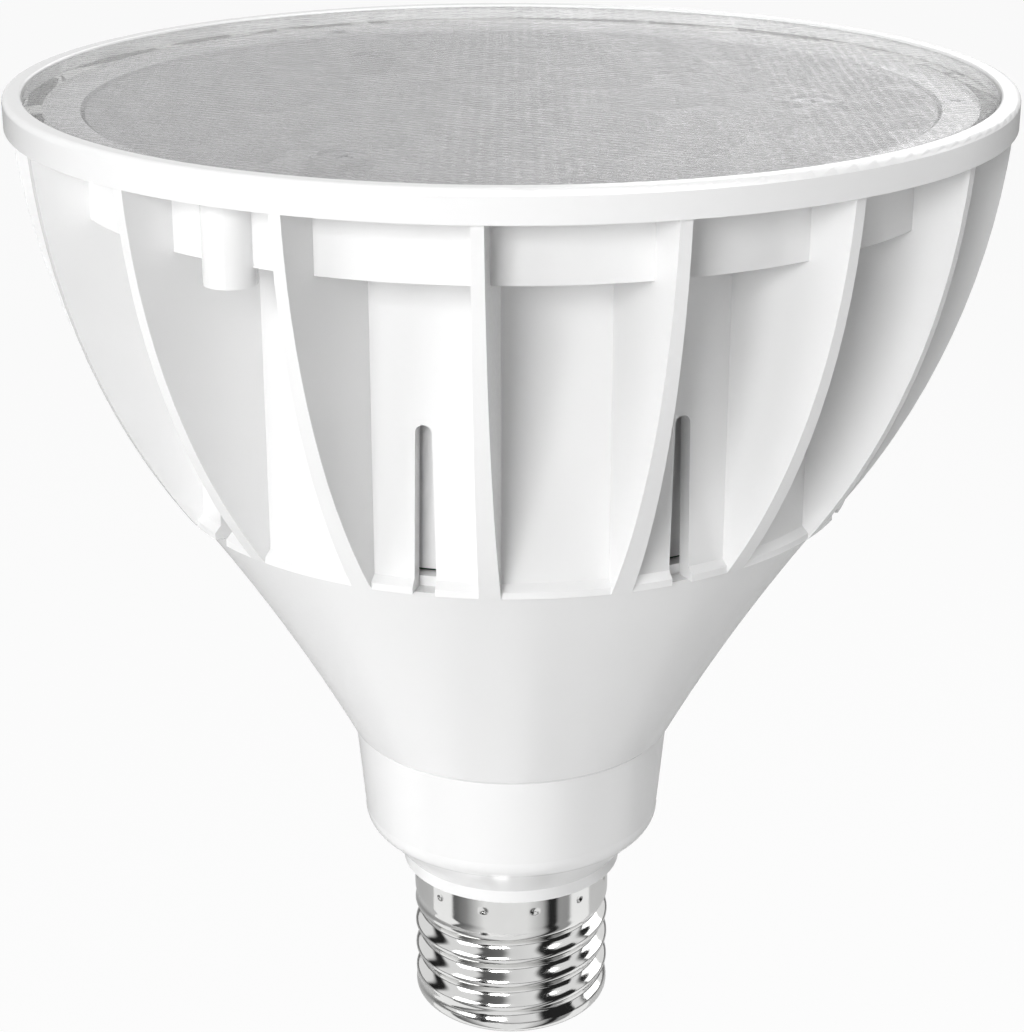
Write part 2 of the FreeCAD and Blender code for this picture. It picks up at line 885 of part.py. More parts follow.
# Driver: an upright board in the lower housing, with its parts on both faces
def make_driver_board():
    half_foot = size("collar_foot_radius") - size("moulded_wall") - size("seat_gap")
    half_top = drum_inner - size("driver_side_gap")
    widest = cone_top - size("moulded_wall") * 3
    body = new_body("driver_board")
    edge = outline(
        body,
        "driver_edge",
        "XZ_Plane",
        [
            (-half_foot, driver_foot),
            (half_foot, driver_foot),
            (half_foot, collar_top),
            (half_top, widest),
            (half_top, driver_top),
            (-half_top, driver_top),
            (-half_top, widest),
            (-half_foot, collar_top),
        ],
    )
    bind(edge, "AttachmentOffset.Base.z", -board_face)
    plate = body.newObject("PartDesign::Pad", "driver_plate")
    plate.Profile = edge
    bind(plate, "Length", size("driver_thickness"))
    keep(body, "driver_board")


def block(label, width, depth, height, x, y, z):
    """A box whose low corner is at x, y, z."""
    item = doc.addObject("Part::Box", label)
    bind(item, "Length", width)
    bind(item, "Width", depth)
    bind(item, "Height", height)
    bind(item, "Placement.Base.x", x)
    bind(item, "Placement.Base.y", y)
    bind(item, "Placement.Base.z", z)
    return item


def drum(label, radius, length, x, y, z, lying=False):
    """A cylinder that stands on x, y, z, or lies along Y from there."""
    item = doc.addObject("Part::Cylinder", label)
    bind(item, "Radius", radius)
    bind(item, "Height", length)
    if lying:
        turn = FreeCAD.Rotation(FreeCAD.Vector(1, 0, 0), -90)
        item.Placement = FreeCAD.Placement(FreeCAD.Vector(0, 0, 0), turn)
    bind(item, "Placement.Base.x", x)
    bind(item, "Placement.Base.y", y)
    bind(item, "Placement.Base.z", z)
    return item


def make_driver_parts():
    width = size("transformer_width")
    depth = size("transformer_depth")
    height = size("transformer_height")
    leg = size("transformer_leg")
    gap = size("fit_gap")
    winding_depth = size("winding_depth")
    core_back = board_face + (winding_depth - depth) / 2
    core_foot = cone_top - height / 2
    block("core_block", width, depth, height, -width / 2, core_back, core_foot)
    window_width = width - leg * 2
    window_height = height - leg * 2
    block(
        "core_window", window_width, depth + OVERRUN * 2, window_height, -window_width / 2,
        core_back - OVERRUN, core_foot + leg,
    )
    core = doc.addObject("Part::Cut", "transformer_core")
    core.Base = doc.getObject("core_block")
    core.Tool = doc.getObject("core_window")
    keep(core, "transformer_core")
    winding = block(
        "transformer_winding", window_width - gap * 2, winding_depth, window_height - gap * 2,
        -window_width / 2 + gap, board_face, core_foot + leg + gap,
    )
    keep(winding, "transformer_winding")
    radius = size("bulk_capacitor_radius")
    level = collar_top + radius / 2
    keep(
        drum(
            "bulk_capacitor", radius, size("bulk_capacitor_length"), size("bulk_capacitor_side"),
            board_face + radius, level,
        ),
        "bulk_capacitor",
    )
    film = size("film_capacitor_width")
    keep(
        block(
            "film_capacitor", film, size("film_capacitor_depth"), size("film_capacitor_height"),
            -film - radius / 2, board_face, level,
        ),
        "film_capacitor",
    )
    disc = size("varistor_radius")
    keep(
        drum(
            "surge_varistor", disc, size("varistor_thickness"), -size("varistor_side"), board_face,
            driver_foot + size("varistor_rise"), lying=True,
        ),
        "surge_varistor",
    )
    body = size("resistor_radius")
    keep(
        drum(
            "fusible_resistor", body, size("resistor_length"), body * 2, board_face + body,
            driver_foot + body,
        ),
        "fusible_resistor",
    )
    rectifier = size("rectifier_width")
    keep(
        block(
            "bridge_rectifier", rectifier, size("rectifier_depth"), rectifier, -rectifier / 2,
            -board_face - size("rectifier_depth"), driver_foot + rectifier / 2,
        ),
        "bridge_rectifier",
    )
    choke = size("choke_radius")
    keep(
        drum(
            "input_choke", choke, size("choke_length"), 0, -board_face - size("choke_length"),
            collar_top + choke * 2, lying=True,
        ),
        "input_choke",
    )
    switch = size("transistor_width")
    keep(
        block(
            "switching_transistor", switch, size("transistor_depth"), size("transistor_height"),
            -size("transistor_side"), -board_face - size("transistor_depth"), core_foot,
        ),
        "switching_transistor",
    )
    can = size("output_capacitor_radius")
    keep(
        drum(
            "output_capacitor", can, size("output_capacitor_length"), size("output_capacitor_side"),
            -board_face - can, core_foot,
        ),
        "output_capacitor",
    )


# Leads: round wires with an arc at every bend, each held at both ends
def make_lead(label, points, radius):
    """A wire through points; each bend is as large as its two runs allow."""
    corners = [FreeCAD.Vector(x.value, y.value, z.value) for x, y, z in points]
    edges = []
    start = corners[0]
    for number in range(1, len(corners) - 1):
        before = corners[number - 1] - corners[number]
        after = corners[number + 1] - corners[number]
        reach = BEND_SHARE * min(before.Length, after.Length)
        inward = before.normalize()
        outward = after.normalize()
        half_turn = (math.pi - inward.getAngle(outward)) / 2
        bend = reach / math.tan(half_turn)
        first = corners[number] + inward * reach
        last = corners[number] + outward * reach
        bisector = (inward + outward).normalize()
        middle = corners[number] + bisector * (math.hypot(bend, reach) - bend)
        edges.append(Part.LineSegment(start, first).toShape())
        edges.append(Part.Arc(first, middle, last).toShape())
        start = last
        print(label, "bend radius", round(bend, 2))
    edges.append(Part.LineSegment(start, corners[-1]).toShape())
    path = Part.Wire(edges)
    direction = corners[1] - corners[0]
    ring = Part.Wire(Part.makeCircle(radius.value, corners[0], direction))
    item = doc.addObject("Part::Feature", label)
    item.Shape = path.makePipeShell([ring], True, True)
    share = item.Shape.Volume / (math.pi * radius.value**2 * path.Length)
    print(label, "length", round(path.Length, 1), "volume share", round(share, 4))
    keep(item, label)


def make_leads():
    radius = size("lead_radius")
    zero = as_size(0)
    sweep = size("lead_sweep")
    middle = (stem_top + driver_foot) / 2
    make_lead(
        "contact_lead",
        [
            (zero, zero, stem_top),
            (zero, zero, stem_top + sweep * 2),
            (-sweep, zero, middle + sweep),
            (-sweep, zero, driver_foot),
        ],
        radius,
    )
    wall_side = size("shell_radius") - size("thread_depth") - size("shell_wall") - radius - size("fit_gap")
    feed = size("neck_radius") / 2
    make_lead(
        "shell_lead",
        [
            (wall_side, zero, thread_foot + size("shell_lead_foot")),
            (wall_side, zero, thread_foot + size("shell_lead_top")),
            (feed, zero, neck_foot + sweep),
            (feed, zero, driver_foot),
        ],
        radius,
    )
    for side, label in ((1, "positive_lead"), (-1, "negative_lead")):
        offset = size("output_lead_offset") * side
        rise = (spreader_top - driver_top) / 3
        make_lead(
            label,
            [
                (offset, zero, driver_top),
                (offset, zero, driver_top + rise),
                (offset, sweep, driver_top + rise * 2),
                (offset, sweep, spreader_top),
            ],
            radius,
        )


make_front_bezel()
make_lens()
make_fin_housing()
make_lower_housing()
make_screw_shell()
make_base_parts()
make_spreader()
make_reflector()
make_board_and_chips()
make_screws()
make_driver_board()
make_driver_parts()
make_leads()

doc.recompute()

for item in doc.Objects:
    if "Invalid" in item.State or "Error" in item.State:
        raise RuntimeError(f"{item.Label} did not build: {item.State}")
for item in pieces:
    if item.Shape.isNull() or not item.Shape.isValid():
        raise RuntimeError(f"{item.Label} has no valid shape")

os.makedirs("parts", exist_ok=True)
for item in pieces:
    item.Shape.exportStep(f"parts/{item.Label}.step")
    print(item.Label, len(item.Shape.Solids), round(item.Shape.Volume, 1))
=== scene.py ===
"""Looks of a par spotlight bulb: finned white housing, clear relief lens and rolled screw base."""

import logging
import math
from dataclasses import dataclass
from enum import Enum
from typing import Protocol

import bpy
import numpy as np
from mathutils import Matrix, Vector


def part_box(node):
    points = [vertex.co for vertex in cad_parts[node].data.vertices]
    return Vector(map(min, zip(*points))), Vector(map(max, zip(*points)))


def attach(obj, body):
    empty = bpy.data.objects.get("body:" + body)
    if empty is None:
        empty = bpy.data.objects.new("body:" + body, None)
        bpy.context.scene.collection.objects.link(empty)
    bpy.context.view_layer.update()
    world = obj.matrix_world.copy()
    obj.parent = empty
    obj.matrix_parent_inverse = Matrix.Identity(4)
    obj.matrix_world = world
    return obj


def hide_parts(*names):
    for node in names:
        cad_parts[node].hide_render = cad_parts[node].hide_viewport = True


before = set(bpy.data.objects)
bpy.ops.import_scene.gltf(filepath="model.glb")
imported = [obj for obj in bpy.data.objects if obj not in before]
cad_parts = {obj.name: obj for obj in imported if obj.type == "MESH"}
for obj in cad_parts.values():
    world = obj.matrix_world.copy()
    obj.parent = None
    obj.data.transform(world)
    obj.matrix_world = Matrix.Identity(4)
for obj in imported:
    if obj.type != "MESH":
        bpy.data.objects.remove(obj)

log = logging.getLogger("spotlight")
MM = 0.001
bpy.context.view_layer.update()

# The photograph's frame and the camera that was fitted to the bulb's circles in it
FRAME_WIDTH = 1024
FRAME_HEIGHT = 1032
FOCAL_PIXELS = 2323.0
AXIS_PIXEL = 511.3
CAMERA_DISTANCE = 280.7 * MM
CAMERA_RISE = 50.3 * MM
CAMERA_PITCH = 20.86
SENSOR_WIDTH = 36.0

Colour = tuple[float, float, float]


class Shade:
    """A shader value: wraps one output socket, so that sums and products write Math nodes."""

    def __init__(self, net: "NodeNet", socket: bpy.types.NodeSocket) -> None:
        """Keep the node net and the socket that holds the value."""
        self.net = net
        self.socket = socket

    def _join(self, operation: str, first: object, second: object) -> "Shade":
        """Write one Math node on two values."""
        node = self.net.add("ShaderNodeMath", {"operation": operation}, {0: first, 1: second})
        return Shade(self.net, node.outputs[0])

    def __add__(self, other: object) -> "Shade":
        """This value plus another."""
        return self._join("ADD", self, other)

    def __radd__(self, other: object) -> "Shade":
        """Another value plus this one."""
        return self._join("ADD", other, self)

    def __sub__(self, other: object) -> "Shade":
        """This value less another."""
        return self._join("SUBTRACT", self, other)

    def __rsub__(self, other: object) -> "Shade":
        """Another value less this one."""
        return self._join("SUBTRACT", other, self)

    def __mul__(self, other: object) -> "Shade":
        """This value times another."""
        return self._join("MULTIPLY", self, other)

    def __rmul__(self, other: object) -> "Shade":
        """Another value times this one."""
        return self._join("MULTIPLY", other, self)

    def sine(self) -> "Shade":
        """The sine of this value in radians."""
        return self._join("SINE", self, 0.0)

    def bearing(self, other: "Shade") -> "Shade":
        """The angle in radians whose sine is along this value and cosine along another."""
        return self._join("ARCTAN2", self, other)

    def ramp(self, low: float, high: float) -> "Shade":
        """This value eased from zero at low to one at high."""
        settings = {"interpolation_type": "SMOOTHSTEP"}
        node = self.net.add("ShaderNodeMapRange", settings, {0: self, 1: low, 2: high})
        return Shade(self.net, node.outputs[0])


class NodeNet:
    """The node tree of one material or world, with one way to add a node."""

    def __init__(self, owner: bpy.types.Material | bpy.types.World) -> None:
        """Empty the owner's tree.

        Args:
            owner: the material or world.
        """
        self.owner = owner
        self.owner.use_nodes = True
        self.tree = self.owner.node_tree
        self.tree.nodes.clear()

    @classmethod
    def paint(cls, name: str) -> "NodeNet":
        """The tree of a new material of this name."""
        return cls(bpy.data.materials.new(name))

    def add(
        self, kind: str, settings: dict | None = None, inputs: dict | None = None
    ) -> bpy.types.Node:
        """Add a node.

        Args:
            kind: the node's type.
            settings: its own properties, set before its inputs.
            inputs: values, sockets or Shades by the input's name or number.

        Returns:
            The node.
        """
        node = self.tree.nodes.new(kind)
        for key, value in (settings or {}).items():
            setattr(node, key, value)
        for key, value in (inputs or {}).items():
            if isinstance(value, Shade):
                self.tree.links.new(value.socket, node.inputs[key])
            elif isinstance(value, bpy.types.NodeSocket):
                self.tree.links.new(value, node.inputs[key])
            else:
                node.inputs[key].default_value = value
        return node

    def place(self, scale: tuple[float, float, float] = (1.0, 1.0, 1.0)) -> bpy.types.NodeSocket:
        """The point on the piece in millimetres, stretched by a scale.

        Args:
            scale: how much each axis is stretched.

        Returns:
            The vector socket.
        """
        source = self.add("ShaderNodeTexCoord")
        stretch = tuple(part / MM for part in scale)
        inputs = {"Vector": source.outputs["Object"], "Scale": stretch}
        node = self.add("ShaderNodeMapping", None, inputs)
        return node.outputs["Vector"]

    def axes(self) -> tuple[Shade, Shade, Shade]:
        """The point's three coordinates in millimetres."""
        node = self.add("ShaderNodeSeparateXYZ", None, {0: self.place()})
        return tuple(Shade(self, node.outputs[number]) for number in range(3))

    def noise(
        self, scale: float, detail: float = 3.0, stretch: tuple[float, float, float] = (1, 1, 1)
    ) -> Shade:
        """Soft noise.

        Args:
            scale: features per millimetre.
            detail: how many finer layers it has.
            stretch: how much each axis is squeezed.

        Returns:
            The noise as a Shade around 0.5.
        """
        inputs = {"Vector": self.place(stretch), "Scale": scale, "Detail": detail}
        node = self.add("ShaderNodeTexNoise", None, inputs)
        return Shade(self, node.outputs["Fac"])

    def bands(self, value: Shade, stops: list[tuple[float, float]]) -> bpy.types.NodeSocket:
        """Greys along a value from 0 to 1.

        Args:
            value: where on the scale a point lies.
            stops: pairs of a place on the scale and its grey.

        Returns:
            The colour socket.
        """
        node = self.add("ShaderNodeValToRGB", None, {0: value})
        marks = node.color_ramp.elements
        while len(marks) < len(stops):
            marks.new(1.0)
        for mark, (place, grey) in zip(marks, stops):
            mark.position = place
            mark.color = (grey, grey, grey, 1.0)
        return node.outputs[0]

    def blend_colour(self, share: object, low: Colour, high: Colour) -> bpy.types.NodeSocket:
        """Mix two colours by a share."""
        settings = {"data_type": "RGBA"}
        node = self.add("ShaderNodeMix", settings, {0: share, 6: (*low, 1.0), 7: (*high, 1.0)})
        return node.outputs[2]

    def bump(self, height: Shade, strength: float, depth: float) -> bpy.types.NodeSocket:
        """A Bump node on a height, with depth in millimetres."""
        inputs = {"Strength": strength, "Distance": depth * MM, "Height": height}
        return self.add("ShaderNodeBump", None, inputs).outputs["Normal"]

    def finish(self, surface: bpy.types.NodeSocket) -> bpy.types.Material:
        """Wire a surface to the output and return the material."""
        self.add("ShaderNodeOutputMaterial", None, {"Surface": surface})
        return self.owner


def shaded(colour: Colour, share: float) -> Colour:
    """The colour at a share of its brightness."""
    return tuple(part * share for part in colour)


class Finish(Protocol):
    """Anything that builds a material."""

    def material(self) -> bpy.types.Material:
        """Build the material."""


class Sheen(Enum):
    """How polished a moulded surface is: its roughness."""

    GLOSS = 0.2
    SATIN = 0.42
    MATT = 0.7


@dataclass(frozen=True)
class Moulding:
    """Moulded or coated plastic with faint sink marks and a fine grain."""

    name: str
    colour: Colour
    sheen: Sheen = Sheen.SATIN
    shift: float = 0.04
    grain: float = 1.6
    relief: float = 0.02

    def material(self) -> bpy.types.Material:
        """Build the material."""
        net = NodeNet.paint(self.name)
        cloud = net.noise(0.06, 2.0)
        fine = net.noise(self.grain, 4.0)
        low = tuple(max(0.0, part - self.shift) for part in self.colour)
        colour = net.blend_colour(cloud, low, self.colour)
        rough = self.sheen.value + (fine - 0.5) * 0.08
        shader = net.add(
            "ShaderNodeBsdfPrincipled",
            None,
            {
                "Base Color": colour,
                "Roughness": rough,
                "IOR": 1.49,
                "Normal": net.bump(fine + cloud * 2.0, 0.25, self.relief),
            },
        )
        return net.finish(shader.outputs[0])


@dataclass(frozen=True)
class Plating:
    """Bright or cast metal with fine drawn lines round the axis."""

    name: str
    colour: Colour
    roughness: float = 0.12
    relief: float = 0.01
    lines: float = 6.0

    def material(self) -> bpy.types.Material:
        """Build the material."""
        net = NodeNet.paint(self.name)
        drawn = net.noise(self.lines, 3.0, (0.15, 0.15, 3.0))
        smudge = net.noise(0.25, 3.0)
        shader = net.add(
            "ShaderNodeBsdfPrincipled",
            None,
            {
                "Base Color": net.blend_colour(smudge, shaded(self.colour, 0.9), self.colour),
                "Metallic": 1.0,
                "Roughness": self.roughness + smudge * 0.08,
                "Normal": net.bump(drawn, 0.3, self.relief),
            },
        )
        return net.finish(shader.outputs[0])


@dataclass(frozen=True)
class ReliefLens:
    """Clear moulded lens: a fine slanting knurl over slow ripples, seen through by its alpha.

    The knurl is the sum of two sine waves that run at plus and minus the lay, and the ripples
    are noise that is stretched across the lens. Only the face that looks up has a veil.
    """

    name: str
    tint: Colour = (0.36, 0.36, 0.365)
    veil: float = 0.48
    knurl_pitch: float = 1.3
    lay: float = 0.5
    knurl_share: float = 0.34
    streak_share: float = 0.6
    ripple_share: float = 0.25

    def material(self) -> bpy.types.Material:
        """Build the material."""
        net = NodeNet.paint(self.name)
        across, along, _ = net.axes()
        source = net.add("ShaderNodeTexCoord")
        facing = net.add("ShaderNodeSeparateXYZ", None, {0: source.outputs["Normal"]})
        top = Shade(net, facing.outputs[2]).ramp(0.2, 0.5)
        ripple = net.noise(0.16, 4.0, (0.35, 1.6, 1.0))
        streak = net.noise(0.9, 3.0, (0.25, 1.4, 1.0))
        wander = (ripple - 0.5) * 7.0 + (net.noise(0.6, 2.0) - 0.5) * 5.0
        turn = 2.0 * math.pi / self.knurl_pitch
        rising = (along * turn + across * (turn * self.lay) + wander).sine()
        falling = (along * turn - across * (turn * self.lay) + wander).sine()
        knurl = rising * 0.32 + falling * 0.18 + 0.5
        height = knurl * 0.6 + streak * 0.7 + ripple * 0.8
        dense = self.veil + (knurl - 0.5) * self.knurl_share + (streak - 0.5) * self.streak_share
        dense = (dense + (ripple - 0.5) * self.ripple_share) * top
        shader = net.add(
            "ShaderNodeBsdfPrincipled",
            None,
            {
                "Base Color": net.blend_colour(knurl, shaded(self.tint, 0.8), self.tint),
                "Roughness": 0.14 + streak * 0.14,
                "IOR": 1.52,
                "Alpha": dense,
                "Normal": net.bump(height, 0.85, 0.35),
            },
        )
        return net.finish(shader.outputs[0])


@dataclass(frozen=True)
class Phosphor:
    """The pale yellow gel on an LED package, in one colour over the whole package."""

    name: str
    gel: Colour = (0.97, 0.95, 0.84)

    def material(self) -> bpy.types.Material:
        """Build the material."""
        net = NodeNet.paint(self.name)
        speckle = net.noise(5.0, 4.0)
        shader = net.add(
            "ShaderNodeBsdfPrincipled",
            None,
            {
                "Base Color": net.blend_colour(speckle, shaded(self.gel, 0.93), self.gel),
                "Roughness": 0.45 + speckle * 0.1,
                "Normal": net.bump(speckle, 0.3, 0.03),
            },
        )
        return net.finish(shader.outputs[0])


def closed_grid(name: str, points: np.ndarray) -> bpy.types.Object:
    """Make a smooth mesh from a grid whose last row and column join the first.

    Args:
        name: the piece's name.
        points: an array of rows by columns by 3, in metres.

    Returns:
        The new object, at the origin.
    """
    rows, columns = points.shape[:2]
    left = np.arange(rows * columns).reshape(rows, columns)
    right = np.roll(left, -1, axis=1)
    above = [np.roll(right, -1, axis=0), np.roll(left, -1, axis=0)]
    quads = np.stack([left, right, *above], axis=-1)
    faces = quads.reshape(-1, 4)
    mesh = bpy.data.meshes.new(name)
    mesh.vertices.add(rows * columns)
    mesh.vertices.foreach_set("co", points.reshape(-1).astype(np.float32))
    mesh.loops.add(faces.size)
    mesh.loops.foreach_set("vertex_index", faces.reshape(-1).astype(np.int32))
    mesh.polygons.add(len(faces))
    mesh.polygons.foreach_set("loop_start", np.arange(0, faces.size, 4, dtype=np.int32))
    mesh.polygons.foreach_set("use_smooth", np.ones(len(faces), dtype=bool))
    mesh.update(calc_edges=True)
    mesh.validate()
    piece = bpy.data.objects.new(name, mesh)
    bpy.context.scene.collection.objects.link(piece)
    return piece


def dress(node: str, material: bpy.types.Material) -> None:
    """Give a CAD node its finish.

    Args:
        node: the node's name.
        material: the finish.
    """
    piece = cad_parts[node]
    piece.data.materials.clear()
    piece.data.materials.append(material)
    log.info("dressed %s", node)


@dataclass
class ScrewShell:
    """The drawn shell of the base: plain land with staking dents, rolled thread and turned-in foot.

    The outer radius is crest - depth * (1 - cos(2 pi (z / pitch - angle / turn))) / 2 in the
    thread, faded out at both ends, less a small round dent at each staking point on the land.
    """

    crest: float = 13.17
    depth: float = 1.1
    pitch: float = 3.63
    wall: float = 0.35
    foot_height: float = 2.6
    thread_length: float = 15.0
    run_out: float = 0.8
    mouth: float = 10.0
    foot_bend: float = 2.2
    dents: int = 12
    dent_radius: float = 0.58
    dent_depth: float = 0.22
    dent_azimuth: float = 13.7
    around: int = 288
    steps: int = 150

    def outer_radius(
        self, angle: np.ndarray, height: np.ndarray, foot: float, top: float
    ) -> np.ndarray:
        """The outer radius over the whole shell in millimetres.

        Args:
            angle: angles in radians, one per column.
            height: heights in millimetres, one per row.
            foot: where the thread starts.
            top: the upper edge of the shell.

        Returns:
            An array of rows by columns.
        """
        z, a = np.meshgrid(height, angle, indexing="ij")
        end = foot + self.thread_length
        run_out = self.run_out * self.pitch
        rise = np.clip(np.minimum((z - foot) / run_out, (end - z) / run_out), 0.0, 1.0)
        fade = rise * rise * (3.0 - 2.0 * rise)
        wave = 0.5 - 0.5 * np.cos(2.0 * np.pi * ((z - foot) / self.pitch) - a)
        radius = self.crest - self.depth * fade * wave
        step = 2.0 * np.pi / self.dents
        start = math.radians(self.dent_azimuth - 90.0)
        offset = (a - start + step / 2.0) % step - step / 2.0
        middle = end + (top - end) * 0.5
        away = np.hypot(offset * self.crest, z - middle) / self.dent_radius
        dent = np.clip(1.0 - away**2, 0.0, 1.0) ** 1.5
        fall = np.clip((foot - z) / self.foot_height, 0.0, 1.0)
        turned_in = self.crest - self.mouth
        return radius - self.dent_depth * dent - turned_in * fall**self.foot_bend

    def build(self) -> bpy.types.Object:
        """Build the shell as one closed wall and dress it."""
        low, high = (corner.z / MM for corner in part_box("screw_shell"))
        angle = np.linspace(0.0, 2.0 * np.pi, self.around, endpoint=False)
        height = np.linspace(low, high, self.steps)
        outer = self.outer_radius(angle, height, low + self.foot_height, high)
        radius = np.concatenate([outer, (outer - self.wall)[::-1]])
        level = np.concatenate([height, height[::-1]])
        levels = np.repeat(level[:, None], self.around, 1)
        points = np.stack([radius * np.cos(angle), radius * np.sin(angle), levels], axis=-1)
        piece = closed_grid("rolled_shell", points * MM)
        piece.data.materials.append(Plating("nickel_plate", (0.82, 0.82, 0.81), 0.05).material())
        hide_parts("screw_shell")
        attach(piece, "root")
        log.info("built rolled_shell")
        return piece


def level_corners(corners: list[tuple[float, float]], height: float) -> list[tuple]:
    """Corners of a flat card at one height."""
    return [(x, y, height) for x, y in corners]


def upright_corners(
    start: tuple[float, float], stop: tuple[float, float], foot: float, top: float
) -> list[tuple]:
    """Corners of an upright card between two places on the floor."""
    return [(*start, foot), (*stop, foot), (*stop, top), (*start, top)]


@dataclass
class Studio:
    """The pale room: camera, soft lamps, cards that the chrome reflects, and the floor."""

    floor_drop: float = 0.26
    backdrop: float = 1.0
    mirrored: float = 0.85
    ambient: float = 0.17
    card_shade: float = 0.02
    bars: tuple[tuple[float, float], ...] = (
        (0.0, 1.0),
        (0.18, 1.0),
        (0.2, 0.02),
        (0.23, 0.02),
        (0.25, 1.0),
        (0.35, 1.0),
        (0.37, 0.12),
        (0.45, 0.2),
        (0.48, 0.9),
        (0.58, 1.0),
        (0.6, 0.02),
        (0.64, 0.02),
        (0.66, 0.95),
        (0.74, 1.0),
        (0.76, 0.02),
        (0.8, 0.02),
        (0.82, 1.0),
        (1.0, 1.0),
    )

    def camera(self) -> None:
        """Set up the photograph's camera."""
        data = bpy.data.cameras.new("view")
        data.lens = FOCAL_PIXELS * SENSOR_WIDTH / FRAME_HEIGHT
        data.sensor_width = SENSOR_WIDTH
        data.shift_x = (FRAME_WIDTH / 2 - AXIS_PIXEL) / FRAME_HEIGHT
        data.clip_start = 0.01
        item = bpy.data.objects.new("view", data)
        bpy.context.scene.collection.objects.link(item)
        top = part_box("front_bezel")[1].z
        item.location = (0.0, -CAMERA_DISTANCE, top + CAMERA_RISE)
        item.rotation_euler = (math.radians(90.0 - CAMERA_PITCH), 0.0, 0.0)
        bpy.context.scene.camera = item

    def lamp(self, name: str, place: tuple, aim: tuple, size: tuple, power: float) -> None:
        """Add one soft rectangular lamp.

        Args:
            name: its name.
            place: where it stands, in metres.
            aim: the point that it faces.
            size: its width and height.
            power: its watts.
        """
        data = bpy.data.lights.new(name, "AREA")
        data.shape = "RECTANGLE"
        data.size = size[0]
        data.size_y = size[1]
        data.energy = power
        item = bpy.data.objects.new(name, data)
        item.location = place
        item.rotation_euler = (Vector(aim) - Vector(place)).to_track_quat("-Z", "Y").to_euler()
        bpy.context.scene.collection.objects.link(item)

    def world(self) -> None:
        """A white surround for the camera, a soft one for the light, and bars for reflections."""
        world = bpy.data.worlds.new("surround")
        bpy.context.scene.world = world
        net = NodeNet(world)
        path = net.add("ShaderNodeLightPath")
        source = net.add("ShaderNodeTexCoord")
        ways = net.add("ShaderNodeSeparateXYZ", None, {0: source.outputs["Generated"]})
        across, along = Shade(net, ways.outputs[0]), Shade(net, ways.outputs[1])
        share = across.bearing(0.0 - along) * (0.5 / math.pi) + 0.5
        white = (1.0, 1.0, 1.0, 1.0)
        inputs = {"Color": white, "Strength": self.ambient}
        seen = net.add("ShaderNodeBackground", None, inputs).outputs[0]
        layers = {
            "Is Glossy Ray": (net.bands(share, list(self.bars)), self.mirrored),
            "Is Camera Ray": (white, self.backdrop),
        }
        for sort, (colour, strength) in layers.items():
            sky = net.add("ShaderNodeBackground", None, {"Color": colour, "Strength": strength})
            inputs = {0: path.outputs[sort], 1: seen, 2: sky.outputs[0]}
            seen = net.add("ShaderNodeMixShader", None, inputs).outputs[0]
        net.add("ShaderNodeOutputWorld", None, {"Surface": seen})

    def card(self, name: str, corners: list, shade: float) -> None:
        """Add a matt card that only reflections see.

        Args:
            name: its name.
            corners: its four corners in metres.
            shade: how light it is.
        """
        net = NodeNet.paint(name)
        inputs = {"Color": (shade, shade, shade, 1.0), "Strength": 1.0}
        shader = net.add("ShaderNodeEmission", None, inputs)
        self.hang(name, corners, net.finish(shader.outputs[0]))

    def hang(self, name: str, corners: list, material: bpy.types.Material) -> None:
        """Hang a flat card with a material where only reflections see it.

        Args:
            name: its name.
            corners: its four corners in metres.
            material: what it is painted with.
        """
        mesh = bpy.data.meshes.new(name)
        mesh.from_pydata(corners, [], [(0, 1, 2, 3)])
        mesh.materials.append(material)
        item = bpy.data.objects.new(name, mesh)
        bpy.context.scene.collection.objects.link(item)
        item.visible_camera = False
        item.visible_diffuse = False
        item.visible_shadow = False
        item.visible_transmission = False

    def apron(self) -> None:
        """The card under the camera, whose greys change with the bearing from the bulb.

        The screw base mirrors it, so its stops are the bright and dark bars on the land.
        """
        net = NodeNet.paint("apron")
        across, along, _ = net.axes()
        turn = across.bearing(0.0 - along)
        share = turn * (1.0 / math.pi) + 0.5
        stops = [(0.0, 1.0), (0.085, 1.0), (0.1, 0.1), (0.2, 0.28), (0.32, 0.9), (0.6, 0.9)]
        stops += [(0.71, 0.5), (0.75, 0.02), (0.8, 0.02), (0.82, 0.35), (0.9, 0.32), (0.92, 1.0)]
        paint = net.bands(share, stops)
        shader = net.add("ShaderNodeEmission", None, {"Color": paint, "Strength": 1.0})
        near, far, side, drop = 0.12, 0.66, 0.7, 0.24
        corners = [(-side, -far), (side, -far), (side, near), (-side, near)]
        self.hang("apron", level_corners(corners, -drop), net.finish(shader.outputs[0]))

    def floor(self) -> None:
        """A pale floor well under the hanging bulb."""
        mesh = bpy.data.meshes.new("floor")
        reach = 3.0
        corners = [(-reach, -reach), (reach, -reach), (reach, reach), (-reach, reach)]
        mesh.from_pydata(level_corners(corners, -self.floor_drop), [], [(0, 1, 2, 3)])
        item = bpy.data.objects.new("floor", mesh)
        bpy.context.scene.collection.objects.link(item)
        net = NodeNet.paint("floor_paint")
        path = net.add("ShaderNodeLightPath")
        paint = net.add("ShaderNodeBsdfDiffuse", None, {"Color": (0.7, 0.7, 0.7, 1.0)})
        glow = net.add("ShaderNodeEmission", None, {"Color": (1.0, 1.0, 1.0, 1.0), "Strength": 1.0})
        share = Shade(net, path.outputs["Is Camera Ray"]) * 0.94
        inputs = {0: share, 1: paint.outputs[0], 2: glow.outputs[0]}
        mix = net.add("ShaderNodeMixShader", None, inputs)
        mesh.materials.append(net.finish(mix.outputs[0]))

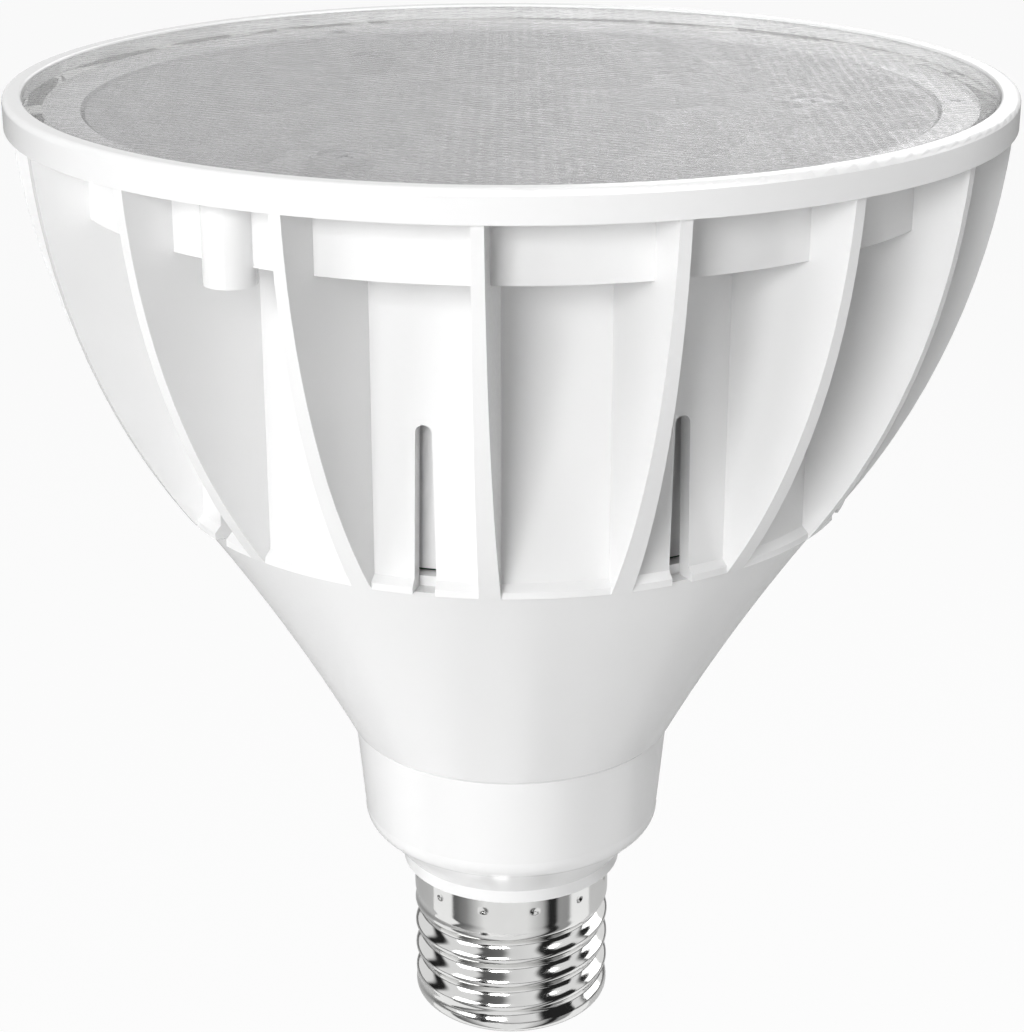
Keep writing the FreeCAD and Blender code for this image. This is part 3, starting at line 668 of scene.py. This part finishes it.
    def build(self) -> None:
        """Set up the whole room."""
        self.camera()
        self.world()
        self.floor()
        middle = (0.0, 0.0, 0.08)
        self.lamp("key", (-0.36, -1.04, 0.44), middle, (0.42, 0.42), 9.0)
        self.lamp("left", (-0.92, -0.62, 0.36), middle, (0.6, 0.6), 4.4)
        self.lamp("side", (0.9, 0.3, 0.2), middle, (0.5, 0.5), 1.3)
        self.lamp("top", (0.45, -0.1, 1.0), middle, (0.7, 0.7), 6.0)
        self.lamp("back", (0.3, 0.9, 0.6), middle, (0.6, 0.6), 2.0)
        self.apron()
        right = upright_corners((0.5, -0.5), (0.75, -0.2), -0.4, 0.5)
        left = upright_corners((-0.42, -0.6), (-0.34, -0.66), -0.4, 0.4)
        self.card("dark_right", right, self.card_shade)
        self.card("dark_left", left, self.card_shade)
        log.info("built the studio")


@dataclass
class Housing:
    """The white mouldings outside: front ring, finned housing and lower housing, and the lens."""

    white: Finish = Moulding("white_moulding", (0.8, 0.8, 0.8), Sheen.GLOSS, 0.012)
    lens: Finish = ReliefLens("clear_lens")
    bead: Finish = Moulding("silicone_bead", (0.8, 0.8, 0.79), Sheen.MATT)

    def dress(self) -> None:
        """Give the mouldings one white material, and the lens and its bead their own."""
        white = self.white.material()
        for node in ("front_bezel", "fin_housing", "lower_housing"):
            dress(node, white)
        dress("lens_cover", self.lens.material())
        dress("lens_gasket", self.bead.material())


@dataclass
class LightEngine:
    """What lies under the lens: cups, board, packages, spreader and screws."""

    spreader: Finish = Moulding(
        "cast_aluminium", (0.82, 0.82, 0.82), Sheen.SATIN, shift=0.03, grain=2.4, relief=0.04
    )
    # The reflector cups are white; their grey of 0.42 is painted shade for the dim inside under the
    # lens.
    cups_painted_shade: Finish = Moulding("reflector_white", (0.42, 0.42, 0.42), Sheen.SATIN)
    # The LED board is white; its grey of 0.3 is painted shade for the dim inside under the lens.
    board: Finish = Moulding("white_board", (0.3, 0.3, 0.3), Sheen.SATIN)
    package: Finish = Phosphor("led_phosphor")
    board_screw: Finish = Plating("steel_screw", (0.5, 0.5, 0.51), 0.3)
    flange_screw: Finish = Plating("flange_screw_steel", (0.5, 0.5, 0.51), 0.3)

    def dress(self) -> None:
        """Give each node its finish."""
        dress("heat_spreader", self.spreader.material())
        dress("reflector_array", self.cups_painted_shade.material())
        dress("led_board", self.board.material())
        dress("led_chips", self.package.material())
        dress("board_screws", self.board_screw.material())
        dress("flange_screws", self.flange_screw.material())


@dataclass
class BaseEnd:
    """The insulator and the contact at the tip."""

    insulator: Finish = Moulding("black_insulator", (0.02, 0.02, 0.022), Sheen.GLOSS, 0.005)
    contact: Finish = Plating("contact_tin", (0.78, 0.74, 0.62), 0.25)

    def dress(self) -> None:
        """Give both nodes their finish."""
        dress("base_insulator", self.insulator.material())
        dress("centre_contact", self.contact.material())


@dataclass
class Driver:
    """The board in the lower housing, its parts and the four leads."""

    board: Finish = Moulding("green_board", (0.05, 0.22, 0.1), Sheen.SATIN, 0.02)
    ferrite: Finish = Moulding("ferrite", (0.06, 0.06, 0.065), Sheen.MATT, 0.01)
    tape: Finish = Moulding("winding_tape", (0.75, 0.55, 0.08), Sheen.SATIN, 0.05)
    sleeve: Finish = Moulding("capacitor_sleeve", (0.03, 0.04, 0.12), Sheen.SATIN, 0.01)
    output_sleeve: Finish = Moulding("output_sleeve", (0.04, 0.05, 0.14), Sheen.SATIN, 0.01)
    copper: Finish = Plating("copper_winding", (0.72, 0.36, 0.18), 0.35, 0.05, 4.0)
    rectifier: Finish = Moulding("black_epoxy", (0.03, 0.03, 0.03), Sheen.MATT, 0.01)
    switch: Finish = Moulding("transistor_epoxy", (0.035, 0.035, 0.035), Sheen.MATT, 0.01)
    lacquer: Finish = Moulding("resistor_lacquer", (0.55, 0.45, 0.28), Sheen.SATIN, 0.04)
    film: Finish = Moulding("film_box", (0.6, 0.42, 0.06), Sheen.SATIN, 0.04)
    varistor: Finish = Moulding("varistor_coat", (0.06, 0.16, 0.4), Sheen.SATIN, 0.03)
    insulation: Finish = Moulding("lead_insulation", (0.75, 0.75, 0.72), Sheen.SATIN)

    def dress(self) -> None:
        """Give each part its finish, and the leads one between them."""
        dress("driver_board", self.board.material())
        dress("transformer_core", self.ferrite.material())
        dress("transformer_winding", self.tape.material())
        dress("bulk_capacitor", self.sleeve.material())
        dress("output_capacitor", self.output_sleeve.material())
        dress("input_choke", self.copper.material())
        dress("bridge_rectifier", self.rectifier.material())
        dress("switching_transistor", self.switch.material())
        dress("fusible_resistor", self.lacquer.material())
        dress("film_capacitor", self.film.material())
        dress("surge_varistor", self.varistor.material())
        insulation = self.insulation.material()
        for lead in ("contact_lead", "shell_lead", "positive_lead", "negative_lead"):
            dress(lead, insulation)


def main() -> None:
    """Build the room, then the bulb from the base up."""
    logging.basicConfig(level=logging.INFO)
    bpy.context.scene.view_settings.view_transform = "Standard"
    Studio().build()
    for part in (Housing(), LightEngine(), BaseEnd(), Driver()):
        part.dress()
    ScrewShell().build()


if __name__ == "__main__":
    main()
